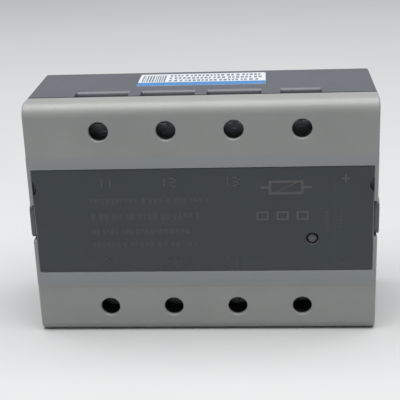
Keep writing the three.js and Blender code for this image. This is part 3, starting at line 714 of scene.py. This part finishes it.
def make_print():
    """Way numbers, polarity signs, rows of dashes, a plain circuit symbol and a divider line."""
    clear = bmesh.new()
    print_way_numbers(clear, "1", MID + 11.2 * MM)
    sign_x = LABEL_HIGH[0] - 8.4 * MM
    print_sign(clear, "plus", sign_x, MID + 13.2 * MM, SIGN_SIZE)
    print_relay_symbol(clear, 20 * MM, 30.4 * MM, MID + 8.4 * MM, MID + 12.8 * MM)
    for column in range(3):  # three plain tiles
        x = 16.3 * MM + column * 6 * MM
        print_frame(clear, x, x + TILE_WIDE, MID + 0.2 * MM, MID + 3 * MM, 0.5 * MM)
    print_layer(clear, "label_print", INK)
    faint = bmesh.new()
    print_way_numbers(faint, "2", MID - 15 * MM)
    print_sign(faint, "minus", sign_x, MID - 14.4 * MM, SIGN_SIZE)
    divider = LABEL_HIGH[0] - 11.6 * MM
    stroke_box(faint, divider - 0.1 * MM, divider + 0.1 * MM, MID - 14.7 * MM, MID + 14.9 * MM)
    for column, low, high in UPRIGHT_LINES:
        z = MID + low * MM
        while z < MID + high * MM:
            tall = RNG.uniform(0.6, 1.1) * MM
            left, right = divider + (column - 0.6) * MM, divider + (column + 0.6) * MM
            stroke_box(faint, left, right, z, z + tall)
            z += tall + 0.35 * MM
    for right, row, height in TEXT_ROWS:
        print_dashes(faint, TEXT_LEFT, right * MM, MID + row * MM, height * MM)
    print_layer(faint, "label_small_print", FAINT_INK)


# ---------------------------------------------------------------- housing, latches and sticker
def make_housing():
    """Outer walls, the board frame inside them and a terminal block above and below it."""
    for node in ("housing", "board_frame", "terminal_block_upper", "terminal_block_lower"):
        finish_piece(refined_copy(node, 0.22 * MM), node, "relay_body", HOUSING_PLASTIC)


def latch_arm():
    """Latch of the +X side: a flat snap arm with a rounded tip, finger grooves and a knuckle at its root."""
    low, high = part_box("cover_latch_right")
    inner, outer, pivot_x = 51.6 * MM, high[0], 52.1 * MM
    tip, tip_r = low[1], 2.4 * MM
    knuckle_r, knuckle_sides = 0.9 * MM, 32
    groove_count, groove_first, groove_pitch = 3, 3, 2  # first and pitch in mm, from the tip
    groove_deep, groove_end = 0.25 * MM, 2 * MM
    root = high[1] - knuckle_r
    outline = [(root, low[2]), (root, high[2])]
    outline += arc(tip + tip_r, high[2] - tip_r, tip_r, 90, 180)
    outline += arc(tip + tip_r, low[2] + tip_r, tip_r, 180, 270)
    arm = prism(outline, inner, outer, "latch")
    last_angle = 360 - 360 / knuckle_sides
    round_outline = arc(pivot_x, root, knuckle_r, 0, last_angle, knuckle_sides - 1)
    combine(arm, [sheet(round_outline, low[2], high[2], "knuckle")], "UNION")
    grooves = []
    for i in range(groove_count):
        y = tip + (groove_first + groove_pitch * i) * MM
        near, far = (outer - groove_deep, y, low[2] + groove_end), (outer + MM, y + MM, high[2] - groove_end)
        grooves.append(block(near, far))
    combine(arm, grooves)
    return soften(arm, 0.15 * MM, 3)


def make_latch(side):
    """Both latches are the +X one; the -X one is its mirror image."""
    arm = latch_arm()
    if side < 0:
        arm.data.transform(Matrix.Scale(-1, 4, (1, 0, 0)))
        arm.data.flip_normals()
    name = "right" if side > 0 else "left"
    return finish_piece(arm, "cover_latch_" + name, "latch_" + name, HOUSING_PLASTIC)


def sticker_bar(bm, x0, x1, y0, y1, top):
    """One printed bar on the sticker, as a thin raised box."""
    made = bmesh.ops.create_cube(bm, size=1)
    for vert in made["verts"]:
        x = x0 + (vert.co.x + 0.5) * (x1 - x0)
        y = y0 + (vert.co.y + 0.5) * (y1 - y0)
        vert.co = (x, y, top + 0.02 * MM * (vert.co.z - 0.5))


def sticker_layer(obj, material):
    obj.data.materials.append(material)
    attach(obj, "relay_body")


def make_sticker():
    """White sticker with a blue band along its front, a block of bars and three rows of dashes."""
    low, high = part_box("rating_sticker")
    corner = 0.8 * MM
    paper_top = high[2] - 0.04 * MM
    outline = rounded_rectangle(low[0], high[0], low[1], high[1], corner)
    paper = sheet(outline, low[2], paper_top, "sticker_paper_sheet")
    soften(paper, 0.03 * MM, 2)
    finish_piece(paper, "rating_sticker", "relay_body", STICKER_WHITE)
    edge, ink = 0.05 * MM, 0.01 * MM
    x0, x1, y0, y1 = low[0] + edge, high[0] - edge, low[1] + edge, low[1] + 4.2 * MM
    front = arc(x0 + corner, y0 + corner, corner, 180, 270, 8)
    front += arc(x1 - corner, y0 + corner, corner, 270, 360, 8)
    band = sheet([(x1, y1), (x0, y1)] + front, paper_top - ink, paper_top + ink, "sticker_blue_band")
    sticker_layer(band, STICKER_BLUE)
    ink_top = paper_top + ink
    grey = bmesh.new()
    x = low[0] + MM
    while x < low[0] + 8.6 * MM:
        width = RNG.uniform(0.25, 0.6) * MM
        sticker_bar(grey, x, x + width, low[1] + 4.8 * MM, high[1] - 1.6 * MM, ink_top)
        x += width + RNG.uniform(0.25, 0.45) * MM
    for row in range(3):
        x = low[0] + 9.6 * MM
        y = low[1] + (5.1 + 3.2 * row) * MM
        while x < high[0] - 1.6 * MM:
            width = RNG.uniform(0.6, 1.1) * MM
            sticker_bar(grey, x, x + width, y, y + 2.1 * MM, ink_top)
            x += width + RNG.choice((0.45, 0.45, 0.8)) * MM
    sticker_layer(object_from(grey, "sticker_dashes"), STICKER_GREY)


# ---------------------------------------------------------------- base plate and fasteners
def make_base_plate():
    """The plate with its mounting holes, the spot faces round them and the countersunk holes."""
    low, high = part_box("base_plate")
    outline = rounded_rectangle(low[0], high[0], low[2], high[2], 1.5 * MM)
    body = plate(outline, low[1], high[1])
    tools = both_sides(lambda side: rod(MOUNT_HOLE_R, side * MOUNT_HOLE_X, MID, low[1] - MM, high[1] + MM))
    tools += both_sides(lambda side: rod(SEAT_R, side * MOUNT_HOLE_X, MID, low[1] - MM, low[1] + SEAT_DEEP))
    for name in BASE_SCREWS:
        x, _, z = centre_of(name)
        shank_r, head_r, deep = 1.8 * MM, 3.6 * MM, 1.8 * MM
        profile = [
            (0, low[1] - MM),
            (shank_r, low[1] - MM),
            (shank_r, high[1] - deep),
            (head_r, high[1]),
            (head_r, high[1] + MM),
            (0, high[1] + MM),
        ]
        tools.append(turned(profile, x, z))
    combine(body, tools)
    soften(body, 0.15 * MM, 2)
    return finish_piece(body, "base_plate", "relay_body", ALUMINIUM)


def cross_tool(x, z, long, wide, y0, y1):
    """Cutter for a crossed driver recess with straight sides."""
    upright = block((x - wide / 2, y0, z - long / 2), (x + wide / 2, y1, z + long / 2))
    level = block((x - long / 2, y0, z - wide / 2), (x + long / 2, y1, z + wide / 2))
    return combine(upright, [level], "UNION")


def threaded(profile_start, radius, depth, pitch, y0, y1):
    """Profile points of a shank with ring-cut threads from y0 to y1."""
    points = list(profile_start)
    turns = int((y1 - y0) / pitch)
    for i in range(turns):
        y = y0 + i * pitch
        points += [(radius, y + 0.1 * pitch), (radius, y + 0.25 * pitch), (radius - depth, y + 0.6 * pitch)]
        points.append((radius - depth, y + 0.75 * pitch))
    return points


def make_base_screw(name):
    """Countersunk screw with a crossed recess and a threaded shank."""
    low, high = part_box(name)
    x, _, z = centre_of(name)
    head_r = (high[0] - low[0]) / 2
    shank_r, deep = 1.3 * MM, 1.8 * MM
    head_rear = high[1]
    neck = head_rear - deep
    tip = [(0, low[1]), (0.5 * MM, low[1])]
    profile = threaded(tip, shank_r, 0.25 * MM, 0.8 * MM, low[1] + 0.7 * MM, neck - MM)
    profile += [(shank_r, neck), (head_r - 0.1 * MM, head_rear - 0.1 * MM), (head_r - 0.15 * MM, head_rear)]
    profile.append((0, head_rear))
    screw = turned(profile, x, z, name + "_finished")
    combine(screw, [cross_tool(x, z, 3.4 * MM, 0.8 * MM, head_rear - MM, head_rear + MM)])
    soften(screw, 0.06 * MM, 2, 50)
    return finish_piece(screw, name, "relay_body", ZINC)


# ---------------------------------------------------------------- terminals
def make_terminal_screw(way):
    """Pan-head screw with a crossed recess and a threaded shank."""
    node = way + "_screw"
    low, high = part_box(node)
    x, _, z = centre_of(node)
    power = way in POWER_WAYS
    shank_r, pitch = (2.4 * MM, 0.8 * MM) if power else (1.9 * MM, 0.7 * MM)
    head_r = (high[0] - low[0]) / 2
    head_high = 2.6 * MM if power else 2.5 * MM
    top, under, end = low[1], low[1] + head_high, high[1]
    crown = [(0, top), (0.55 * head_r, top + 0.03 * MM), (0.8 * head_r, top + 0.3 * MM)]
    crown += [(0.94 * head_r, top + 0.7 * MM), (head_r, top + 1.25 * MM), (head_r, under), (shank_r, under)]
    profile = threaded(crown, shank_r, 0.4 * MM, pitch, under + 0.6 * MM, end - 0.8 * MM)
    profile += [(shank_r - 0.4 * MM, end - 0.3 * MM), (shank_r - 0.7 * MM, end), (0, end)]
    screw = turned(profile, x, z, node + "_finished")
    long, wide = (5.6 * MM, 1.2 * MM) if power else (4.4 * MM, MM)
    combine(screw, [cross_tool(x, z, long, wide, top - MM, top + 0.6 * head_high)])
    soften(screw, 0.08 * MM, 2, 50)
    return finish_piece(screw, node, node, MATT_ZINC)


def make_terminal(way):
    """The screw, clamp plate, busbar and nut of one way."""
    make_terminal_screw(way)
    finish_piece(refined_copy(way + "_clamp", 0.12 * MM), way + "_clamp", way + "_clamp", NICKEL)
    finish_piece(refined_copy(way + "_busbar", 0.12 * MM), way + "_busbar", "relay_body", TIN)
    finish_piece(refined_copy(way + "_nut", 0.15 * MM), way + "_nut", "relay_body", ZINC)


# ---------------------------------------------------------------- light pipe and electronics
def make_light_pipe():
    """Round light pipe with a domed lens and a collar behind the cover."""
    low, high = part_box("light_pipe")
    x, _, z = centre_of("light_pipe")
    pipe_r, flange_r = 1.45 * MM, 2.3 * MM
    flange = FRONT + PLATFORM_RISE + FRONT_WALL + 2.6 * MM
    dome = [(0, low[1])] + [
        (pipe_r * math.sin(math.radians(a)), low[1] + 0.8 * MM * (1 - math.cos(math.radians(a))))
        for a in range(10, 91, 10)
    ]
    profile = dome + [(pipe_r, flange), (flange_r, flange), (flange_r, flange + MM), (pipe_r, flange + MM)]
    profile += [(pipe_r, high[1]), (0, high[1])]
    pipe = turned(profile, x, z, "light_pipe_finished", 48)
    soften(pipe, 0.05 * MM, 2, 50)
    return finish_piece(pipe, "light_pipe", "relay_body", ACRYLIC)


def make_electronics():
    """The power section, the circuit board with what it carries, and the resin."""
    finish_piece(refined_copy("power_substrate", 0.06 * MM), "power_substrate", "relay_body", CERAMIC)
    for phase in "abc":
        chip = phase + "_optocoupler"
        finish_piece(refined_copy(chip, 0.08 * MM), chip, "relay_body", CHIP)
        for end in "12":
            die = phase + end + "_thyristor"
            finish_piece(refined_copy(die, 0.04 * MM), die, "relay_body", SILICON)
    finish_piece(refined_copy("control_board", 0.1 * MM), "control_board", "relay_body", BOARD)
    finish_piece(refined_copy("status_led", 0.08 * MM), "status_led", "relay_body", CHIP)
    finish_piece(refined_copy("potting_resin", 0.2 * MM), "potting_resin", "relay_body", RESIN)


# ---------------------------------------------------------------- floor
def make_floor():
    """A large pale sheet just under the relay."""
    reach = 3.0
    floor = block((-reach, -reach, -0.01), (reach, reach, 0), "floor")
    made = Finish("floor_paper", (0.52, 0.532, 0.528), 0.7)
    tone = made.ramp(made.noise(0.12, 2), 0.3, 0.7)
    made.link(made.mix(tone, (0.512, 0.524, 0.52), (0.528, 0.54, 0.536)), "Base Color")
    floor.data.materials.append(made.material)


# ---------------------------------------------------------------- build
set_camera()
set_light()
make_cover()
make_label()
make_print()
make_housing()
both_sides(make_latch)
make_sticker()
make_base_plate()
for screw_name in BASE_SCREWS:
    make_base_screw(screw_name)
for terminal in TERMINALS:
    make_terminal(terminal)
make_light_pipe()
make_electronics()
make_floor()
